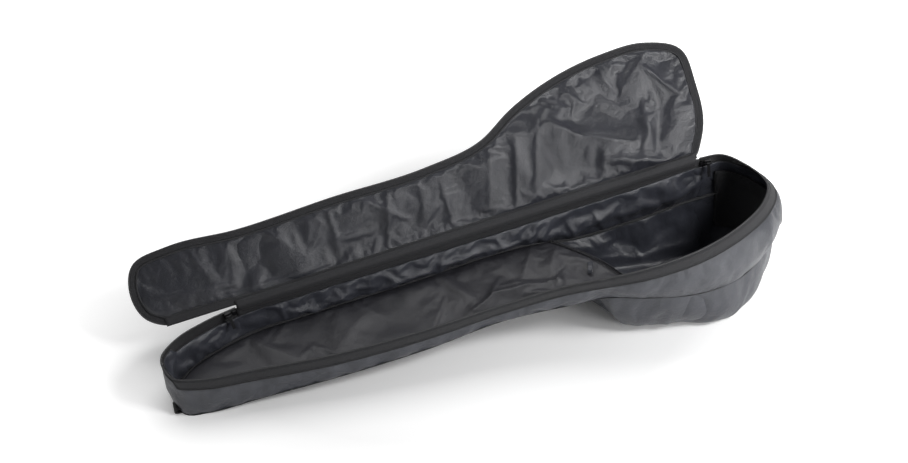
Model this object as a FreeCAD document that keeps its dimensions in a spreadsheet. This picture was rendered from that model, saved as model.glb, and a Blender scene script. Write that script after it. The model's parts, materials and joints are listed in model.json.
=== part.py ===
"""Padded gig bag for a long-necked, bowl-backed instrument, lying open on its back.

All parts are drawn in the bag's own frame, in millimetres: u runs along the bag from the neck tip
to the body end, v runs across it with the hinge line at v = 0 and the open side at negative v,
and w points out of the rim, which lies in the plane w = 0. A lid part is drawn with the lid shut
and then swung open about the hinge line. The placements lean the whole bag back until it stands
on its neck tip and on the flat of its bowl, with +Z up.
"""
import FreeCAD, Part

import math
import os

import Sketcher

Vector = FreeCAD.Vector
Placement = FreeCAD.Placement
Rotation = FreeCAD.Rotation

os.makedirs("parts", exist_ok=True)
doc = FreeCAD.newDocument("gig_bag")

# ---------------------------------------------------------------- driving dimensions

SIZES = {
    # how the bag lies
    "tilt_angle": 7.75,
    "open_angle": 133.5,
    # layers of the padded fabric
    "skin_thick": 1.2,
    "foam_thick": 6.0,
    "lining_thick": 1.0,
    # depths below the rim
    "neck_depth": 70.0,
    "belly_depth": 50.0,
    "seam_depth": 92.0,
    "bowl_depth": 148.0,
    "rim_sag": 20.0,
    "base_clearance": 0.02,
    # lengthwise places
    "hinge_start": 155.0,
    "hinge_end": 1050.0,
    "neck_end": 740.0,
    "tip_joint": 90.0,
    "neck_overlap": 20.0,
    # zip
    "tape_width": 20.0,
    "tape_thick": 1.6,
    "tape_inset": 0.3,
    "coil_height": 3.0,
    "coil_width": 3.2,
    "stop_long": 6.0,
    "stop_wide": 2.7,
    "stop_tall": 9.0,
    "stop_inset": 4.8,
    "slider_park": 16.0,
    # lid
    "lid_gap": 1.0,
    "lid_edge": 3.0,
    "lid_tape": 13.0,
    "piping_size": 2.0,
    "flange_width": 16.0,
    "web_gap": 0.3,
    "web_thick": 4.2,
    # slider and its puller
    "slider_long": 11.0,
    "slider_wide": 5.0,
    "slider_tall": 9.0,
    "slider_inset": 3.5,
    "slider_top": 0.4,
    "ear_long": 1.5,
    "ear_tall": 3.0,
    "pin_size": 0.8,
    "pin_reach": 7.4,
    "pin_drop": 4.0,
    "eye_size": 2.0,
    "eye_bore": 0.9,
    "puller_long": 26.0,
    "puller_wide": 6.0,
    "puller_thick": 1.4,
    "puller_lean": 20.0,
    # trim
    "binding_size": 3.0,
    "patch_thick": 1.2,
    "patch_start": 1088.0,
    "patch_near": 176.0,
    "patch_far": 22.0,
    "patch_drop": 6.0,
    "webbing_thick": 2.4,
    "handle_width": 25.0,
    "handle_long": 150.0,
    "handle_rise": 24.0,
    "handle_tab": 28.0,
    "handle_start": 560.0,
    "handle_drop": 55.0,
    "loop_long": 20.0,
    "loop_gap": 8.0,
    "loop_width": 22.0,
    "loop_root": 21.4,
    "loop_edge": 104.0,
    "loop_lift": 3.0,
}

sheet = doc.addObject("Spreadsheet::Sheet", "sizes")
for row, (name, value) in enumerate(SIZES.items(), start=1):
    sheet.set(f"A{row}", name)
    sheet.set(f"B{row}", str(value))
    sheet.setAlias(f"B{row}", name)
doc.recompute()


def size(name):
    """The value of one driving dimension."""
    return float(sheet.get(name))


TILT = math.radians(size("tilt_angle"))
SKIN = size("skin_thick")
FOAM = SKIN + size("foam_thick")
WALL = FOAM + size("lining_thick")
NECK_END = size("neck_end")
HINGE = (size("hinge_start"), size("hinge_end"))
# A length greater than half the bag is wide, and the line between its two long sides.
REACH = 400.0
MIDDLE = -75.0

# ---------------------------------------------------------------- outlines, as (u, v) points

NECK_RIM = [(155, 0), (98, -14), (42, -40), (17, -80), (27, -124), (70, -143), (157, -150),
            (302, -156), (451, -160), (600, -166), (700, -180), (760, -194)]
NECK_FLOOR = [(155, -8), (100, -20), (52, -44), (22, -82), (33, -126), (75, -147), (157, -155),
              (302, -160), (451, -162), (600, -165), (700, -174), (760, -186)]
BODY_RIM = [(1050, 0), (1092, -12), (1120, -48), (1130, -105), (1096, -165), (1030, -210),
            (951, -227), (840, -216), (740, -190)]
BODY_BELLY = [(1052, -2), (1102, -12), (1138, -48), (1152, -106), (1118, -174), (1042, -224),
              (951, -240), (838, -228), (740, -190)]
BODY_SEAM = [(1052, -8), (1104, -18), (1142, -54), (1157, -108), (1122, -178), (1044, -228),
             (951, -243), (836, -228), (740, -186)]
BOWL_MIDDLE = [(1040, -16), (1088, -26), (1124, -60), (1138, -108), (1106, -170), (1034, -214),
               (951, -228), (846, -214), (770, -176)]
BOWL_FLAT = [(1010, -40), (1048, -48), (1078, -74), (1088, -110), (1064, -156), (1016, -184),
             (951, -192), (872, -182), (822, -150)]
# The square corner that closes each outline beside the hinge, where the neck ends.
RIM_CORNER = (740, 0)
BELLY_CORNER = (740, -2)
SEAM_CORNER = (740, -8)
MIDDLE_CORNER = (770, -18)
FLAT_CORNER = (822, -44)
LID = [(1050, 4), (1076, 50), (1088, 130), (1082, 204), (1020, 236), (931, 240), (823, 221),
       (732, 189), (664, 154), (553, 136), (379, 133), (197, 132), (73, 136), (8, 122),
       (-9, 73), (2, 26), (34, 4)]
SAG = [(-40, 0.0), (10, 0.0), (60, 0.0), (180, 0.45), (320, 0.95), (460, 1.0), (600, 0.9),
       (740, 0.35), (840, 0.0), (920, 0.0), (1020, 0.0), (1120, 0.0), (1240, 0.0)]


# ---------------------------------------------------------------- shapes of the soft volumes

def inset_points(points, inset):
    """Move a closed outline inwards by inset, with square corners kept square."""
    count = len(points)
    area = sum(points[i][0] * points[(i + 1) % count][1] - points[(i + 1) % count][0] * points[i][1]
               for i in range(count))
    side = 1.0 if area > 0 else -1.0
    moved = []
    for i, (u, v) in enumerate(points):
        before = points[i - 1]
        after = points[(i + 1) % count]
        arriving = Vector(u - before[0], v - before[1], 0).normalize()
        leaving = Vector(after[0] - u, after[1] - v, 0).normalize()
        normal_in = Vector(-arriving.y, arriving.x, 0) * side
        normal_out = Vector(-leaving.y, leaving.x, 0) * side
        bisector = (normal_in + normal_out).normalize()
        reach = inset / bisector.dot(normal_in)
        moved.append((u + bisector.x * reach, v + bisector.y * reach))
    return moved


def ring(curve, corner, inset, height):
    """A closed wire: the curve, then straight runs to the corner and back. height maps u to w."""
    outline = inset_points([corner] + curve, inset)
    places = [Vector(u, v, height(u)) for u, v in outline]
    spline = Part.BSplineCurve()
    spline.interpolate(places[1:])
    edges = [Part.makeLine(places[0], places[1]), spline.toShape(),
             Part.makeLine(places[-1], places[0])]
    return Part.Wire(edges)


def level(w):
    """A height function for a ring that is parallel to the rim."""
    return lambda u: w


def ground(u, lift):
    """The height w of the surface the bag lies on, raised by lift."""
    lowest = size("neck_depth") * math.cos(TILT) - NECK_FLOOR[3][0] * math.sin(TILT)
    return (lift - lowest - u * math.sin(TILT)) / math.cos(TILT)


def neck_volume(inset):
    floor = -size("neck_depth") + inset
    end = NECK_RIM[-1][0]
    rim = ring(NECK_RIM, (end, NECK_RIM[0][1]), inset, level(0.0))
    bottom = ring(NECK_FLOOR, (end, NECK_FLOOR[0][1]), inset, level(floor))
    return Part.makeLoft([rim, bottom], True, True)


def body_volume(inset):
    """The band of the body, from the rim down to the seam of the bowl."""
    rings = [ring(BODY_RIM, RIM_CORNER, inset, level(0.0)),
             ring(BODY_BELLY, BELLY_CORNER, inset, level(-size("belly_depth"))),
             ring(BODY_SEAM, SEAM_CORNER, inset, level(-size("seam_depth")))]
    return Part.makeLoft(rings, True, False)


def bowl_volume(inset):
    """The bowl, from its seam down to the flat that it lies on."""
    rings = [ring(BODY_SEAM, SEAM_CORNER, inset, level(-size("seam_depth"))),
             ring(BOWL_MIDDLE, MIDDLE_CORNER, inset, level(-size("bowl_depth"))),
             ring(BOWL_FLAT, FLAT_CORNER, inset, lambda u: ground(u, inset))]
    return Part.makeLoft(rings, True, False)


VOLUMES = {}


def volume(inset):
    """The whole hollow bag as a solid, moved inwards by inset."""
    if inset not in VOLUMES:
        VOLUMES[inset] = neck_volume(inset).fuse([body_volume(inset), bowl_volume(inset)])
    return VOLUMES[inset]


def block(u0, u1, v0, v1, w0, w1):
    return Part.makeBox(u1 - u0, v1 - v0, w1 - w0, Vector(u0, v0, w0))


def below_rim(drop):
    """Everything lower than the rim by drop. The rim is straight on the hinge side and sags on
    the open side."""
    sag = size("rim_sag")
    places = [Vector(u, MIDDLE, -drop - sag * share) for u, share in SAG]
    spline = Part.BSplineCurve()
    spline.interpolate(places)
    last = Vector(places[-1].x, MIDDLE, -REACH)
    first = Vector(places[0].x, MIDDLE, -REACH)
    outline = Part.Wire([spline.toShape(), Part.makeLine(places[-1], last),
                         Part.makeLine(last, first), Part.makeLine(first, places[0])])
    open_side = Part.Face(outline).extrude(Vector(0, -REACH, 0))
    hinge_side = block(places[0].x, places[-1].x, MIDDLE, REACH, -REACH, -drop)
    return open_side.fuse(hinge_side)


def layer(outer, inner):
    """The padded wall between two insets, under the zip tape."""
    return volume(outer).cut(volume(inner)).common(below_rim(size("tape_width")))


def floor_part(shape, inner):
    """The part of a layer that is the back of the neck."""
    top = -size("neck_depth") + inner
    return shape.common(block(-REACH, NECK_END, -REACH, REACH, -REACH, top))


def bowl_part(shape, inner):
    """The part of a layer that is the bowl, with the step at the end of the neck."""
    top = -size("neck_depth") + inner
    seam = -size("seam_depth")
    under_seam = block(NECK_END, 4 * REACH, -REACH, REACH, -REACH, seam)
    step = block(NECK_END, NECK_END + size("neck_overlap") / 2, -REACH, REACH, seam, top)
    return shape.common(under_seam.fuse(step))


def side_part(shape, inner):
    """The part of a layer that stands up as the side of the bag."""
    return shape.cut([floor_part(shape, inner), bowl_part(shape, inner)])


def tip_zone():
    return block(-REACH, size("tip_joint"), -REACH, REACH, -REACH, REACH)


def end_zone():
    return block(HINGE[1], 4 * REACH, -REACH, REACH, -REACH, REACH)


def open_side_zone():
    return block(size("tip_joint"), HINGE[1], -REACH, MIDDLE, -REACH, REACH)


def hinge_side_zone():
    return block(size("tip_joint"), HINGE[1], MIDDLE, REACH, -REACH, REACH)


# ---------------------------------------------------------------- placements and sub-parts

LEAN = Placement(Vector(0, 0, 0), Rotation(Vector(0, 1, 0), -size("tilt_angle")))
SWING = Placement(Vector(0, 0, 0), Rotation(Vector(1, 0, 0), -size("open_angle")))
NODES = []


def finish(part, label, local=Placement()):
    """Name a sub-part and lean it back with the rest of the bag."""
    part.Label = label
    part.Placement = LEAN.multiply(local)
    NODES.append(part)
    return part


def soft(label, shape, local=Placement()):
    """A sub-part whose curved shape is worked out from the bag's outlines."""
    part = doc.addObject("Part::Feature", label)
    part.Shape = shape.removeSplitter()
    return finish(part, label, local)


def bind(part, **cells):
    for name, formula in cells.items():
        part.setExpression(name, formula)


# ---------------------------------------------------------------- the trough and the bowl

def side_bands():
    """Skin, foam and lining of the band that stands round the bag, cut where its seams are."""
    skin = side_part(layer(0.0, SKIN), SKIN)
    foam = side_part(layer(SKIN, FOAM), FOAM)
    zones = {"near": open_side_zone(), "far": hinge_side_zone(),
             "neck_tip": tip_zone(), "body_end": end_zone()}
    for place, zone in zones.items():
        soft(f"side_skin_{place}", skin.common(zone))
        soft(f"side_foam_{place}", foam.common(zone))
    soft("side_lining", side_part(layer(FOAM, WALL), WALL))


def neck_back():
    soft("neck_back_skin", floor_part(layer(0.0, SKIN), SKIN))
    soft("neck_back_foam", floor_part(layer(SKIN, FOAM), FOAM))
    soft("neck_back_lining", floor_part(layer(FOAM, WALL), WALL))


def bowl():
    """The bowl's skin is a curved wall and a flat base panel, which meets the ground."""
    skin = bowl_part(layer(0.0, SKIN), SKIN)
    under = skin.common(base_zone())
    soft("bowl_base_panel", under)
    soft("bowl_skin", skin.cut(under))
    soft("bowl_foam", bowl_part(layer(SKIN, FOAM), FOAM))
    soft("bowl_lining", bowl_part(layer(FOAM, WALL), WALL))


def base_zone():
    """The lowest slice of the bowl, as thick as its skin and parallel to the ground."""
    top = SKIN + size("base_clearance")
    slab = Part.makeBox(4 * REACH, 2 * REACH, REACH, Vector(-REACH, -REACH, top - REACH))
    slab.Placement = Placement(Vector(0, 0, ground(0.0, 0.0)),
                               Rotation(Vector(0, 1, 0), size("tilt_angle")))
    return slab


def seam_bindings():
    """Bound seams inside: round the back of the neck, and round the mouth of the bowl."""
    bead = size("binding_size")
    inside = volume(WALL + bead).translated(Vector(0, 0, -bead))
    rim = volume(WALL).cut(inside)
    floor = -size("neck_depth") + WALL
    seam = -size("seam_depth")
    along_neck = block(-REACH, NECK_END - bead, -REACH, REACH, floor, floor + bead)
    soft("neck_seam_binding", rim.common(along_neck))
    along_bowl = block(NECK_END + 2 * WALL, 4 * REACH, -REACH, REACH, seam, seam + bead)
    soft("bowl_seam_binding", rim.common(along_bowl))


def end_patch():
    """A second layer of cloth sewn to the lining where the end of the body rests."""
    patch = volume(WALL).cut(volume(WALL + size("patch_thick")))
    bottom = -size("seam_depth") + 2 * size("binding_size")
    top = -size("tape_width") - size("patch_drop")
    zone = block(size("patch_start"), 4 * REACH, -size("patch_near"), -size("patch_far"), bottom, top)
    soft("end_patch", patch.common(zone))


# ---------------------------------------------------------------- zip and hinge on the base

def zip_run(shape):
    """Take the hinge span out of a ring, which leaves the stretch that has a zip."""
    return shape.cut(block(HINGE[0], HINGE[1], -size("tape_width"), REACH, -REACH, REACH))


def base_zip():
    tape_out = size("tape_inset")
    tape_in = tape_out + size("tape_thick")
    tape_middle = (tape_out + tape_in) / 2
    coil_out = tape_middle - size("coil_width") / 2
    coil_in = tape_middle + size("coil_width") / 2
    under_coil = below_rim(size("coil_height"))
    under_tape = below_rim(size("tape_width"))
    tape = volume(tape_out).cut(volume(tape_in)).common(under_coil).cut(under_tape)
    soft("base_zip_tape", zip_run(tape))
    coil = volume(coil_out).cut(volume(coil_in)).common(below_rim(0.0)).cut(under_coil)
    soft("base_zip_coil", zip_run(coil))


def zip_end_stops():
    """A moulded stop at each end of the zip, against the end of the hinge web."""
    tabs = []
    for start in (HINGE[0] - size("stop_long"), HINGE[1]):
        tab = doc.addObject("Part::Box", "end_stop")
        tab.Placement.Base.x = start
        bind(tab, Length="sizes.stop_long", Width="sizes.stop_wide", Height="sizes.stop_tall",
             **{"Placement.Base.y": "-sizes.stop_inset - sizes.stop_wide",
                "Placement.Base.z": "-sizes.coil_height - sizes.stop_tall"})
        tabs.append(tab)
    stops = doc.addObject("Part::Compound", "zip_end_stops")
    stops.Links = tabs
    finish(stops, "zip_end_stops")


def hinge_web():
    """The strip of cloth that stands under the hinge line."""
    web = doc.addObject("Part::Box", "hinge_web")
    bind(web, Length="sizes.hinge_end - sizes.hinge_start", Width="sizes.web_thick",
         Height="sizes.tape_width - sizes.coil_height")
    local = Placement(Vector(HINGE[0], -size("tape_inset") - size("web_thick"), -size("tape_width")),
                      Rotation())
    finish(web, "hinge_web", local)


# ---------------------------------------------------------------- the lid, drawn shut

def lid_wire(inset):
    """The lid's outline on the plane of the rim, moved inwards."""
    outline = inset_points([(u, -reach) for u, reach in LID], inset)
    places = [Vector(u, v, 0) for u, v in outline]
    spline = Part.BSplineCurve()
    spline.interpolate(places)
    return Part.Wire([spline.toShape(), Part.makeLine(places[-1], places[0])])


def lid_slab(inset, low, high):
    """The lid's outline as a slab between two heights above its inner face."""
    base = Part.Face(lid_wire(inset))
    base.translate(Vector(0, 0, size("lid_gap") + low))
    return base.extrude(Vector(0, 0, high - low))


def lid():
    edge = size("lid_edge")
    tape_in = edge + size("lid_tape")
    lining = size("skin_thick")
    foam = lining + size("foam_thick")
    skin = foam + SKIN
    coil = lid_slab(0.0, 0.0, size("coil_height")).cut(lid_slab(edge, 0.0, size("coil_height")))
    soft("lid_zip_coil", zip_run(coil), SWING)
    tape = zip_run(lid_slab(edge, 0.0, lining).cut(lid_slab(tape_in, 0.0, lining)))
    soft("lid_zip_tape", tape, SWING)
    soft("lid_lining", lid_slab(edge, 0.0, lining).cut(tape), SWING)
    binding = lid_slab(edge, lining, skin).cut(lid_slab(2 * edge, lining, skin))
    soft("lid_edge_binding", binding, SWING)
    soft("lid_foam", lid_slab(2 * edge, lining, foam), SWING)
    soft("lid_skin", lid_slab(2 * edge, foam, skin), SWING)


def hinge_piping():
    """A corded edge that turns in the hinge line, with the flange that is sewn to the lid."""
    cord = doc.addObject("Part::Cylinder", "piping_cord")
    cord.Placement = Placement(Vector(HINGE[0], 0, 0), Rotation(Vector(0, 1, 0), 90))
    bind(cord, Radius="sizes.piping_size", Height="sizes.hinge_end - sizes.hinge_start")
    flange = doc.addObject("Part::Box", "piping_flange")
    flange.Placement.Base = Vector(HINGE[0], -size("flange_width"), 0)
    bind(flange, Length="sizes.hinge_end - sizes.hinge_start", Width="sizes.flange_width",
         Height="sizes.lid_gap")
    joined = doc.addObject("Part::MultiFuse", "hinge_piping")
    joined.Shapes = [cord, flange]
    finish(joined, "hinge_piping", SWING)


# ---------------------------------------------------------------- sliders and pullers

def slider_places():
    """Where each slider is parked: its own x runs along the zip and its y points into the bag."""
    places = {}
    for name, (end, beyond) in {"neck": NECK_RIM[:2], "body": BODY_RIM[:2]}.items():
        run = Vector(beyond[0] - end[0], beyond[1] - end[1], 0).normalize()
        parked = Vector(end[0], end[1], 0) + run * size("slider_park")
        heading = run if name == "neck" else -run
        turn = math.degrees(math.atan2(heading.y, heading.x))
        places[name] = Placement(parked, Rotation(Vector(0, 0, 1), turn))
    return places


def slider(label, place):
    """A slider with two ears that hold the puller's pin."""
    trunk = doc.addObject("Part::Box", f"{label}_trunk")
    bind(trunk, Length="sizes.slider_long", Width="sizes.slider_wide", Height="sizes.slider_tall",
         **{"Placement.Base.x": "-sizes.slider_long / 2", "Placement.Base.y": "sizes.slider_inset",
            "Placement.Base.z": "sizes.slider_top - sizes.slider_tall"})
    pieces = [trunk]
    starts = {"left": "-sizes.slider_long / 2", "right": "sizes.slider_long / 2 - sizes.ear_long"}
    for side, start in starts.items():
        ear = doc.addObject("Part::Box", f"{label}_ear_{side}")
        bind(ear, Length="sizes.ear_long", Height="sizes.ear_tall",
             Width="sizes.pin_reach - sizes.slider_wide + sizes.pin_size",
             **{"Placement.Base.x": start, "Placement.Base.y": "sizes.slider_inset + sizes.slider_wide",
                "Placement.Base.z": "-sizes.pin_drop - sizes.ear_tall / 2"})
        pieces.append(ear)
    pin = doc.addObject("Part::Cylinder", f"{label}_pin")
    pin.Placement.Rotation = Rotation(Vector(0, 1, 0), 90)
    bind(pin, Radius="sizes.pin_size", Height="sizes.slider_long - 2 * sizes.ear_long",
         **{"Placement.Base.x": "-sizes.slider_long / 2 + sizes.ear_long",
            "Placement.Base.y": "sizes.slider_inset + sizes.pin_reach",
            "Placement.Base.z": "-sizes.pin_drop"})
    pieces.append(pin)
    joined = doc.addObject("Part::MultiFuse", label)
    joined.Shapes = pieces
    finish(joined, label, place)


def puller(label, place):
    """A flat puller that hangs from the slider's pin by an eye."""
    eye = doc.addObject("Part::Cylinder", f"{label}_eye")
    eye.Placement.Rotation = Rotation(Vector(0, 1, 0), 90)
    bind(eye, Radius="sizes.eye_size", Height="sizes.puller_wide",
         **{"Placement.Base.x": "-sizes.puller_wide / 2"})
    blade = doc.addObject("Part::Box", f"{label}_blade")
    bind(blade, Length="sizes.puller_wide", Width="sizes.puller_thick", Height="sizes.puller_long",
         **{"Placement.Base.x": "-sizes.puller_wide / 2", "Placement.Base.y": "-sizes.puller_thick / 2",
            "Placement.Base.z": "-sizes.puller_long"})
    whole = doc.addObject("Part::MultiFuse", f"{label}_whole")
    whole.Shapes = [eye, blade]
    bore = doc.addObject("Part::Cylinder", f"{label}_bore")
    bore.Placement.Rotation = Rotation(Vector(0, 1, 0), 90)
    bind(bore, Radius="sizes.eye_bore", Height="2 * sizes.puller_wide",
         **{"Placement.Base.x": "-sizes.puller_wide"})
    cut = doc.addObject("Part::Cut", label)
    cut.Base = whole
    cut.Tool = bore
    pin = Vector(0, size("slider_inset") + size("pin_reach"), -size("pin_drop"))
    hang = Placement(pin, Rotation(Vector(1, 0, 0), size("puller_lean")))
    finish(cut, label, place.multiply(hang))


# ---------------------------------------------------------------- webbing

def sketch_on(body, role):
    """A sketch on one of a body's own origin planes."""
    plane = next(item for item in body.Origin.OriginFeatures if item.Role == role)
    drawing = body.newObject("Sketcher::SketchObject", f"{body.Name}_outline")
    drawing.AttachmentSupport = [(plane, "")]
    drawing.MapMode = "FlatFace"
    return drawing


def outline(drawing, points):
    """Straight runs that close on themselves."""
    count = len(points)
    for i in range(count):
        start = Vector(*points[i], 0)
        end = Vector(*points[(i + 1) % count], 0)
        drawing.addGeometry(Part.LineSegment(start, end))
    for i in range(count):
        drawing.addConstraint(Sketcher.Constraint("Coincident", i, 2, (i + 1) % count, 1))


def carry_handle():
    """A webbing handle on the hinge side, sewn down at both ends and arched for the hand."""
    span = size("handle_long")
    rise = size("handle_rise")
    tab = size("handle_tab")
    cloth = size("webbing_thick")
    slope = rise + tab
    body = doc.addObject("PartDesign::Body", "carry_handle")
    drawing = sketch_on(body, "XY_Plane")
    outline(drawing, [(0, 0), (tab, 0), (slope, rise - cloth), (span - slope, rise - cloth),
                      (span - tab, 0), (span, 0), (span, cloth), (span - tab + cloth, cloth),
                      (span - slope + cloth, rise), (slope - cloth, rise), (tab - cloth, cloth),
                      (0, cloth)])
    pad = body.newObject("PartDesign::Pad", "handle_webbing")
    pad.Profile = drawing
    bind(pad, Length="sizes.handle_width")
    drop = size("handle_drop")
    lean = math.degrees(math.atan2(-NECK_FLOOR[0][1], size("neck_depth")))
    foot = -drop * math.tan(math.radians(lean))
    local = Placement(Vector(size("handle_start"), foot, -drop), Rotation(Vector(1, 0, 0), -lean))
    finish(body, "carry_handle", local)


def hang_loop():
    """A folded webbing loop sewn into the bottom seam at the neck tip."""
    long = size("loop_long")
    gap = size("loop_gap")
    cloth = size("webbing_thick")
    tall = gap + 2 * cloth
    body = doc.addObject("PartDesign::Body", "hang_loop")
    drawing = sketch_on(body, "XZ_Plane")
    outline(drawing, [(0, 0), (long - cloth, 0), (long, cloth), (long, tall - cloth),
                      (long - cloth, tall), (0, tall)])
    pad = body.newObject("PartDesign::Pad", "loop_webbing")
    pad.Profile = drawing
    bind(pad, Length="sizes.loop_width")
    doc.recompute()
    hole = sketch_on(body, "XZ_Plane")
    outline(hole, [(cloth, cloth), (long - cloth, cloth), (long - cloth, tall - cloth),
                   (cloth, tall - cloth)])
    pocket = body.newObject("PartDesign::Pocket", "loop_gap")
    pocket.Profile = hole
    pocket.Type = "ThroughAll"
    pocket.Midplane = True
    local = Placement(Vector(size("loop_root") - long, -size("loop_edge"),
                             size("loop_lift") - size("neck_depth")), Rotation())
    finish(body, "hang_loop", local)


# ---------------------------------------------------------------- build, stand, check, write

side_bands()
neck_back()
bowl()
seam_bindings()
end_patch()
base_zip()
zip_end_stops()
hinge_web()
lid()
hinge_piping()
for name, place in slider_places().items():
    slider(f"{name}_slider", place)
    puller(f"{name}_puller", place)
carry_handle()
hang_loop()
doc.recompute()

box = FreeCAD.BoundBox()
for node in NODES:
    box.add(node.Shape.optimalBoundingBox(False, False))
stand = Placement(Vector(-box.Center.x, -box.Center.y, -box.ZMin), Rotation())
for node in NODES:
    node.Placement = stand.multiply(node.Placement)
doc.recompute()

for item in doc.Objects:
    if "Invalid" in item.State or "Error" in item.State:
        raise RuntimeError(f"{item.Label} failed: {item.State}")
for node in NODES:
    if node.Shape.isNull() or not node.Shape.isValid() or not node.Shape.Solids:
        raise RuntimeError(f"{node.Label} has no valid solid")

print("origin moved by", stand.Base)
for node in NODES:
    node.Shape.exportStep(f"parts/{node.Label}.step")
    print(f"{node.Label:22s} solids {len(node.Shape.Solids)} volume {node.Shape.Volume:12.1f}")
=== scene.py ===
"""The looks of an open padded gig bag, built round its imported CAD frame.

Shapes are given in the bag's own coordinates, in metres: u along the bag from the neck tip, v
across it from the hinge line (negative towards the open side), and w out of the rim. A point of
the lid is given as u, its reach from the hinge line, and its height behind the lid's inner face.
"""
import json
import math

import bmesh
import bpy
import numpy as np
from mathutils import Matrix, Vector
from mathutils.geometry import delaunay_2d_cdt


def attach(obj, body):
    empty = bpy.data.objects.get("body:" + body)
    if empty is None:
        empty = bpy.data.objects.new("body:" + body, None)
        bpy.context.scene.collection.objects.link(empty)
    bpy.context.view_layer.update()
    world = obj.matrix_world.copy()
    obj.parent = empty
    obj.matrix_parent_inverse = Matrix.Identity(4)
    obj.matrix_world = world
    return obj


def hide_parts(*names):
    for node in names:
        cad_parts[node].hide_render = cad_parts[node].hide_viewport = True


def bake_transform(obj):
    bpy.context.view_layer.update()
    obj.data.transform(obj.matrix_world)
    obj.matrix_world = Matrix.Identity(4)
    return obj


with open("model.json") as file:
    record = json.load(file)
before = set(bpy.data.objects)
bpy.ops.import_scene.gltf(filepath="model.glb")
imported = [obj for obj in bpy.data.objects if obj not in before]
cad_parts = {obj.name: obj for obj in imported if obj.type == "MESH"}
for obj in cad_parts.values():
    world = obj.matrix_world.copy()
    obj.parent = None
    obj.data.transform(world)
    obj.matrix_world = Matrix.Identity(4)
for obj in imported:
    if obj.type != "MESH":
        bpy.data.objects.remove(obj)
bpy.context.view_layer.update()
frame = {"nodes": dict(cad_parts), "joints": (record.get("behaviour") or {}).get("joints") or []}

# ---------------------------------------------------------------- the bag's coordinates

HINGE = next(joint for joint in frame["joints"] if joint["name"] == "lid_hinge")
HINGE_MIDDLE = 0.6025
HINGE_START = 0.155
HINGE_END = 1.050
ALONG = -np.array(HINGE["axis"])
ACROSS = np.array([0.0, 1.0, 0.0])
OUT = np.cross(ALONG, ACROSS)
ORIGIN = np.array(HINGE["pos_m"]) - ALONG * HINGE_MIDDLE
OPENING = math.radians(-HINGE["range_deg"][0])
# The shut lid stands this far off the rim, and nothing of the bag comes nearer to the floor.
LID_GAP = 0.001
FLOOR_GAP = 0.0003
UP = (0, 0, 1)


def place(points):
    """Bag coordinates to the frame's coordinates."""
    points = np.atleast_2d(np.asarray(points, float))
    return ORIGIN + points[:, :1] * ALONG + points[:, 1:2] * ACROSS + points[:, 2:3] * OUT


def rim_height(u, reach):
    """How far the rim rises out of its plane near each place, so that a shut lid lies along it."""
    away = (RIM[:, 0] - u[:, None]) ** 2 + (RIM[:, 1] + reach[:, None]) ** 2 + 1e-6
    weight = away ** -1.5
    return (weight * RIM[:, 2]).sum(axis=1) / weight.sum(axis=1)


def lid_place(points):
    """Lid coordinates (u, reach, height) to the frame's coordinates, at the stored opening."""
    points = np.atleast_2d(np.asarray(points, float))
    u, reach, height = points.T
    height = height + LID_GAP + rim_height(u, reach)
    v = -reach * math.cos(OPENING) + height * math.sin(OPENING)
    w = reach * math.sin(OPENING) + height * math.cos(OPENING)
    return place(np.stack([u, v, w], axis=1))


def ground(u):
    """The height w of the ground under the place u."""
    return (-ORIGIN[2] - u * ALONG[2]) / OUT[2]


# ---------------------------------------------------------------- outlines

# Stations round the rim: u, v, w, how far the wall bellies out, where its foot stands out from
# the rim, and the depth of its bottom seam.
BAND = [
    (0.156, -0.002, 0.000, 0.002, -0.008, 0.066),
    (0.098, -0.016, 0.003, 0.002, -0.008, 0.066),
    (0.045, -0.040, 0.007, 0.000, -0.006, 0.067),
    (0.016, -0.074, 0.011, 0.000, -0.002, 0.070),
    (0.018, -0.112, 0.014, 0.001, 0.006, 0.071),
    (0.030, -0.134, 0.012, 0.000, 0.011, 0.072),
    (0.060, -0.144, 0.007, 0.002, 0.009, 0.073),
    (0.157, -0.152, -0.006, 0.003, 0.008, 0.073),
    (0.302, -0.166, -0.018, 0.003, 0.004, 0.073),
    (0.451, -0.172, -0.023, 0.003, 0.000, 0.074),
    (0.599, -0.175, -0.021, 0.003, -0.007, 0.071),
    (0.716, -0.191, -0.010, 0.004, -0.007, 0.070),
    (0.776, -0.208, -0.004, 0.006, -0.012, 0.068),
    (0.840, -0.222, 0.003, 0.009, -0.003, 0.074),
    (0.951, -0.224, 0.010, 0.012, 0.008, 0.096),
    (1.030, -0.203, 0.013, 0.014, 0.012, 0.106),
    (1.096, -0.160, 0.008, 0.018, 0.012, 0.104),
    (1.129, -0.108, -0.002, 0.021, 0.013, 0.098),
    (1.118, -0.048, -0.001, 0.019, 0.010, 0.092),
    (1.090, -0.012, 0.005, 0.009, 0.004, 0.090),
    (1.050, -0.002, 0.004, 0.002, -0.004, 0.088),
    (0.900, 0.000, 0.000, 0.001, -0.008, 0.090),
    (0.790, 0.000, 0.000, 0.001, -0.008, 0.086),
    (0.710, 0.000, 0.000, 0.001, -0.008, 0.070),
    (0.450, 0.000, 0.000, 0.001, -0.008, 0.066),
    (0.280, 0.000, 0.000, 0.001, -0.008, 0.064),
]
# Where the bowl drops away, as u, v, depth: its outer shell, and the lining and the neck's back,
# which reach further over it at the open side.
OUTER_LIP = [(0.730, -0.010, 0.070), (0.744, -0.060, 0.070), (0.760, -0.116, 0.070), (0.780, -0.180, 0.069)]
INNER_LIP = [(0.730, -0.010, 0.068), (0.764, -0.054, 0.066), (0.802, -0.110, 0.067), (0.838, -0.186, 0.074)]
BOWL_CENTRE = (0.950, -0.116)
# Rows of points down the bowl's wall, then over its floor.
BOWL_WALL_ROWS = 18
BOWL_FLOOR_ROWS = 14
BAND_ROWS = 11
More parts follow.
